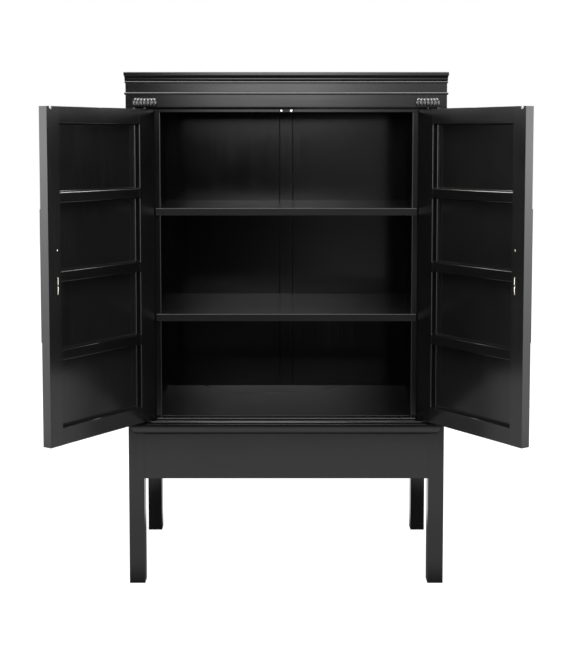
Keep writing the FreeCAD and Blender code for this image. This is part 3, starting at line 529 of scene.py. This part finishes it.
def corner(cx, cy, r, a0, a1, n):
    return [(cx + r * math.cos(a), cy + r * math.sin(a)) for a in (math.radians(a0 + (a1 - a0) * k / n) for k in range(n + 1))]


# hinge stiles: the arris beside each field is rounded and stops at the rails
FIELDS = [(0.644 + 0.256 * k, 0.866 + 0.256 * k) for k in range(4)]


def stile_ring(z, arris, inset=0.0):
    u0, u1, v0, v1 = -0.0255 + inset, 0.0495 - inset, -0.017 + inset, 0.017 - inset
    pts = corner(u1 - arris, v1 - arris, arris, 0, 90, 8)
    pts += corner(u0 + 0.0012, v1 - 0.0012, 0.0012, 90, 180, 4)
    heel = 0.014 - inset
    pts += corner(u0 + heel, v0 + heel, heel, 180, 270, 12)
    pts += corner(u1 - 0.0006, v0 + 0.0006, 0.0006, 270, 360, 3)
    return [(u, v, z) for u, v in pts]


for side, tag in ((-1, "left"), (1, "right")):
    tight, full = 0.0003, 0.0036
    rings = [stile_ring(0.587, tight, 0.0008), stile_ring(0.5873, tight, 0.0003), stile_ring(0.5880, tight)]
    for z0, z1 in FIELDS:
        rings += [stile_ring(z0 - 0.0002, tight), stile_ring(z0 + 0.0010, 0.0022), stile_ring(z0 + 0.0036, full)]
        rings += [stile_ring(z1 - 0.0036, full), stile_ring(z1 - 0.0010, 0.0022), stile_ring(z1 + 0.0002, tight)]
    rings += [stile_ring(1.6870, tight), stile_ring(1.6877, tight, 0.0003), stile_ring(1.688, tight, 0.0008)]
    s = Shape(door_matrix(side)).skin(rings)
    piece(tag + "_hinge_stile_finished", s.verts, s.faces, tag + "_door", tag + "_door_hinge_stile", LACQ["door"])

# carved caps over the pivots: seven even lobes with deep flutes between them, closing to a low crown
CAP = lacquer("lacquer_carving", "z", rough=(0.11, 0.16), gloss=0.8, flutes=0.004)


def cap_ring(cx, t, lobes=7, per=10):
    """One level of a cap, t from 0 at its foot to 1 at its crown."""
    z = 1.6982 + 0.0276 * t
    low = 0.90 + 0.10 * math.sin(min(t / 0.25, 1.0) * math.pi / 2)
    high = math.sqrt(max(1 - max((t - 0.46) / 0.54, 0.0) ** 2.2, 0.0))
    pts = []
    for j in range(lobes):
        for q in range(per):
            f = q / per
            a = math.acos(max(-1.0, min(1.0, 1 - 2 * (j + f) / lobes)))
            swell = 0.0082 * math.sqrt(math.sin(math.pi * f))
            out = 0.0122 * low * (0.50 + 0.50 * high) + swell * high * low
            wide = 0.0422 * low * (0.88 + 0.12 * high) + swell * 0.35 * high * low
            pts.append((cx - wide * math.cos(a), FRONT_Y - out * math.sin(a), z))
    pts.append((cx + 0.0422 * low * (0.88 + 0.12 * high), FRONT_Y, z))
    return pts


for side, tag in ((-1, "left"), (1, "right")):
    steps = [0.0, 0.04, 0.1, 0.2, 0.32, 0.45, 0.56, 0.66, 0.75, 0.82, 0.88, 0.925, 0.955, 0.975, 0.988, 0.996]
    s = Shape().skin([cap_ring(side * (PIVOT_X - 0.0025), t) for t in steps])
    piece(tag + "_carved_cap", s.verts, s.faces, "cabinet", tag + "_pivot_cap", CAP)

# split pins and studs, and the drop pulls that hang from the pins
FIX_U, PULL_Z, STUD_Z, AXLE_V = 0.4519, 1.110, 1.225, -0.028
for side, tag in ((-1, "left"), (1, "right")):
    s = Shape(door_matrix(side))
    U, V, Z = (1, 0, 0), (0, 1, 0), (0, 0, 1)
    # rose with a raised rim and a shank through the stile
    s.lathe((FIX_U, 0, PULL_Z), (0, -1, 0), U, [(0.0200, 0.0089), (0.0208, 0.0090), (0.0215, 0.0087), (0.0217, 0.0080), (0.0212, 0.0070),
                                             (0.0213, 0.0050), (0.0220, 0.0036), (0.0225, 0.0024)], 36)
    # eye: the pin's head wraps the axle
    s.lathe((FIX_U, 0, PULL_Z), (0, -1, 0), U, [(0.0218, 0.0024), (0.0250, 0.0024), (0.0275, 0.0026), (0.0293, 0.0024), (0.0303, 0.0016), (0.0306, 0.0006)], 24)
    # axle with upset ends
    s.lathe((FIX_U, AXLE_V, PULL_Z), U, V, [(-0.0095, 0.0004), (-0.0094, 0.0012), (-0.0090, 0.0015), (0.0090, 0.0015), (0.0094, 0.0012), (0.0095, 0.0004)], 20)
    # two legs leave the hole side by side and are folded up and down on the inner face, tapering, flat sides outwards, a little twisted
    twist = (math.cos(math.radians(12)), -math.sin(math.radians(12)), 0)
    for way in (-1, 1):
        path = [(FIX_U, 0.0148, PULL_Z + way * 0.0021), (FIX_U, 0.0160, PULL_Z + way * 0.0022), (FIX_U, 0.0171, PULL_Z + way * 0.0029),
                (FIX_U, 0.0178, PULL_Z + way * 0.0045)]
        sizes = [(0.0013, 0.0005), (0.0014, 0.0005), (0.0014, 0.0005), (0.0014, 0.0005)]
        for k in range(1, 11):
            f = k / 10
            path.append((FIX_U + (0.0016 if way < 0 else 0.0003) * f ** 2.2, 0.01785 + 0.00022 * math.sin(math.pi * f) - 0.0003 * f,
                         PULL_Z + way * (0.0045 + 0.0245 * f)))
            w = 0.0014 * (1 - 0.40 * f ** 1.6)
            sizes.append((w if k < 10 else w * 0.5, 0.00048 if k < 10 else 0.0003))
        s.tube(path, sizes, twist, 20, 0.55)
    # stud: domed head outside with a turned collar, peened end inside
    s.lathe((FIX_U, 0, STUD_Z), (0, -1, 0), U, [(0.0199, 0.0122), (0.0203, 0.01235), (0.0212, 0.0120), (0.0218, 0.0113), (0.0216, 0.0106), (0.0224, 0.0098),
                                             (0.0241, 0.0080), (0.0256, 0.0058), (0.0266, 0.0034), (0.0270, 0.0010)], 40)
    s.lathe((FIX_U, 0, STUD_Z), V, U, [(0.0168, 0.0030), (0.0172, 0.0031), (0.0177, 0.0029), (0.0180, 0.0022), (0.0181, 0.0010)], 28)
    piece(tag + "_pin_and_stud", s.verts, s.faces, tag + "_door", tag + "_door_studs", BRASS)

    # drop pull: two rolled knuckles and a leaf with a raised rim and a soft keel
    s = Shape(door_matrix(side) @ Matrix.Translation((FIX_U, AXLE_V, PULL_Z)))
    for c in (-0.0058, 0.0058):
        s.lathe((c, 0, 0), U, V, [(-0.0027, 0.0018), (-0.0027, 0.0030), (-0.0024, 0.0035), (-0.0018, 0.0036), (0.0018, 0.0036), (0.0024, 0.0035),
                                  (0.0027, 0.0030), (0.0027, 0.0018)], 28)
    outline = [(-0.0085, -0.0018), (-0.0088, -0.0045), (-0.0100, -0.0160), (-0.0118, -0.0300), (-0.0140, -0.0480), (-0.0158, -0.0640)]
    for k in range(1, 12):
        a = math.pi * k / 12
        outline.append((-0.0160 * math.cos(a), -0.0660 - 0.0178 * math.sin(a)))
    outline += [(-x, z) for x, z in outline[5::-1]]
    mid = (0.0, -0.046)

    def inner(d, y):
        ring = []
        for x, z in outline:
            px, pz = mid[0] - x, mid[1] - z
            l = math.hypot(px, pz)
            ring.append((x + px / l * min(d, l * 0.98), y, z + pz / l * min(d, l * 0.98)))
        return ring

    levels = [(0.02, 0.00045), (0.006, 0.00050), (0.0034, 0.00060), (0.0028, 0.00100), (0.0022, 0.00122), (0.0010, 0.00125), (0.0003, 0.0010), (0.0, 0.0006)]
    rings = [inner(d, -y) for d, y in levels] + [inner(d, y) for d, y in levels[::-1]]
    s.skin(rings)
    for c in (-0.0058, 0.0058):
        s.tube([(c, 0, -0.0012), (c, 0, -0.0034), (c, 0, -0.0064)], [(0.0026, 0.0012), (0.0026, 0.0012), (0.0026, 0.0012)], U, 14)
    piece(tag + "_leaf_pull", s.verts, s.faces, tag + "_pull", tag + "_drop_pull", BRASS)

# ------------------------------------------------------------------------------------------------ camera
cam_data = bpy.data.cameras.new("camera")
cam = bpy.data.objects.new("camera", cam_data)
scene.collection.objects.link(cam)
cam_data.sensor_width = 36.0
cam_data.lens = 68.03
cam_data.shift_y = -0.155
cam_data.shift_x = 0.0011
cam.location = (0.0, -4.5250, 1.5848)
cam.rotation_euler = (math.radians(90 - 4.1370), 0, 0)
scene.camera = cam

# ------------------------------------------------------------------------------------------------ studio
world = bpy.data.worlds.new("studio")
scene.world = world
world.use_nodes = True
wn = world.node_tree
wn.nodes.clear()


def wnode(kind, **props):
    n = wn.nodes.new(kind)
    for k, v in props.items():
        setattr(n, k, v)
    return n


def wmath(op, a, b):
    n = wnode("ShaderNodeMath", operation=op)
    for i, v in enumerate((a, b)):
        if isinstance(v, bpy.types.NodeSocket):
            wn.links.new(v, n.inputs[i])
        else:
            n.inputs[i].default_value = v
    return n.outputs[0]


def wrange(v, a, b, c, d):
    n = wnode("ShaderNodeMapRange", interpolation_type="SMOOTHSTEP")
    for k, x in zip(("From Min", "From Max", "To Min", "To Max"), (a, b, c, d)):
        n.inputs[k].default_value = x
    wn.links.new(v, n.inputs["Value"])
    return n.outputs["Result"]


sky = wnode("ShaderNodeSeparateXYZ")
wn.links.new(wnode("ShaderNodeTexCoord").outputs["Generated"], sky.inputs[0])
dx, dy, dz = sky.outputs
# pale backdrop behind the object, a dim room behind the camera, brighter towards the ceiling
room = wrange(dy, -0.45, 0.30, 0.03, 1.0)
room = wmath("ADD", room, wrange(dz, 0.18, 0.80, 0.0, 0.9))
bg_lit = wnode("ShaderNodeBackground")
wn.links.new(room, bg_lit.inputs["Strength"])
bg_lit.inputs["Color"].default_value = (1, 1, 1, 1)
bg_seen = wnode("ShaderNodeBackground")
bg_seen.inputs["Color"].default_value = (1, 1, 1, 1)
bg_seen.inputs["Strength"].default_value = 1.0
mixw = wnode("ShaderNodeMixShader")
wn.links.new(wnode("ShaderNodeLightPath").outputs["Is Camera Ray"], mixw.inputs[0])
wn.links.new(bg_lit.outputs[0], mixw.inputs[1])
wn.links.new(bg_seen.outputs[0], mixw.inputs[2])
wn.links.new(mixw.outputs[0], wnode("ShaderNodeOutputWorld").inputs[0])


def stage_mesh(name, corners):
    mesh = bpy.data.meshes.new(name)
    mesh.from_pydata([Vector(c) for c in corners], [], [tuple(range(len(corners)))])
    obj = bpy.data.objects.new(name, mesh)
    scene.collection.objects.link(obj)
    return obj


def glow_panel(name, corners, strength):
    """A diffusing light panel out of the picture; strength(tree, x, y, z) gives its brightness over its face."""
    obj = stage_mesh(name, corners)
    obj.visible_camera = False
    t = Tree(name)
    x, y, z = t.position()
    e = t.add("ShaderNodeEmission")
    t.link(strength(t, x, y, z), e.inputs["Strength"])
    dress(obj, t.finish(e.outputs[0]))
    return obj


def side_glow(t, x, y, z):
    # dimmer towards the foot, strongest between the object and the camera
    up = t.math("POWER", t.remap(z, 0.0, 1.52, 0.0, 1.0), 2.0)
    up = t.math("ADD", t.math("MULTIPLY", up, 3.1), 1.7)
    along = t.math("MULTIPLY", t.remap(y, -5.5, -3.8, 0.55, 1.3, smooth=True), t.remap(y, -2.2, -1.2, 1.0, 0.77, smooth=True))
    return t.math("MULTIPLY", up, along)


def front_glow(t, x, y, z):
    # brightest a little right of the middle
    across = t.math("MULTIPLY", t.remap(x, -0.90, -0.22, 0.02, 1.0, smooth=True), t.remap(x, 0.10, 0.75, 1.0, 0.26, smooth=True))
    return t.math("MULTIPLY", across, t.remap(z, 1.76, 1.95, 3.3, 4.8))


def top_glow(t, x, y, z):
    return t.math("MULTIPLY", t.remap(t.math("ABSOLUTE", x), 1.0, 1.6, 1.0, 0.6, smooth=True), 10.0)


for sx, tag in ((-1, "left"), (1, "right")):
    x = sx * 3.2
    glow_panel("light_panel_" + tag, [(x, -5.5, 0.0), (x, -0.3, 0.0), (x, -0.3, 2.6), (x, -5.5, 2.6)], side_glow)
glow_panel("light_panel_front", [(-1.7, -3.3, 1.74), (1.7, -3.3, 1.74), (1.7, -3.1, 3.0), (-1.7, -3.1, 3.0)], front_glow)
glow_panel("light_panel_top", [(-1.6, -3.0, 3.5), (1.6, -3.0, 3.5), (1.6, 2.4, 3.5), (-1.6, 2.4, 3.5)], top_glow)

def rear_glow(t, x, y, z):
    # a faint pale wall far behind the camera, lighter to the right, with a dim ledge across it
    across = t.math("ADD", t.remap(x, -0.95, -0.1, 0.0, 0.10, smooth=True), t.remap(x, -0.1, 0.45, 0.0, 0.24, smooth=True))
    ledge = t.math("MULTIPLY", t.remap(z, 0.62, 0.74, 0.0, 1.0, smooth=True), t.remap(z, 0.86, 0.98, 1.0, 0.0, smooth=True))
    up = t.math("MULTIPLY", t.remap(z, -0.35, 0.42, 0.25, 1.0, smooth=True), t.math("SUBTRACT", 1.0, t.math("MULTIPLY", ledge, 0.75)))
    return t.math("MULTIPLY", across, up)


glow_panel("light_panel_rear", [(-1.0, -6.5, 0.0), (1.4, -6.5, 0.0), (1.4, -6.5, 1.75), (-1.0, -6.5, 1.75)], rear_glow)

floor = stage_mesh("studio_floor", [(-14, -14, -0.0004), (14, -14, -0.0004), (14, 14, -0.0004), (-14, 14, -0.0004)])
t = Tree("floor_paper")
x, y, z = t.position()
lit = t.add("ShaderNodeEmission")
# reflections see a floor that is brightest round the object, dim behind the camera and in the shade of the case
near = t.math("MULTIPLY", t.remap(y, -3.0, -2.2, 0.03, 1.0, smooth=True), t.remap(y, -1.6, -0.4, 1.0, 0.80, smooth=True))
shade_x = t.remap(t.math("ABSOLUTE", x), 0.60, 0.72, 1.0, 0.0, smooth=True)
shade_y = t.math("MULTIPLY", t.remap(y, -0.42, -0.06, 0.0, 1.0, smooth=True), t.remap(y, 0.50, 0.80, 1.0, 0.0, smooth=True))
shade = t.math("SUBTRACT", 1.0, t.math("MULTIPLY", t.math("MULTIPLY", shade_x, shade_y), 0.88))
t.link(t.math("MULTIPLY", near, shade), lit.inputs["Strength"])
seen = t.add("ShaderNodeEmission")
seen.inputs["Strength"].default_value = 0.93
diff = t.add("ShaderNodeBsdfDiffuse")
diff.inputs["Color"].default_value = (0.14, 0.14, 0.14, 1)
both = t.add("ShaderNodeAddShader")
t.link(seen.outputs[0], both.inputs[0])
t.link(diff.outputs[0], both.inputs[1])
pick = t.add("ShaderNodeMixShader")
t.link(t.add("ShaderNodeLightPath").outputs["Is Camera Ray"], pick.inputs[0])
t.link(lit.outputs[0], pick.inputs[1])
t.link(both.outputs[0], pick.inputs[2])
dress(floor, t.finish(pick.outputs[0]))
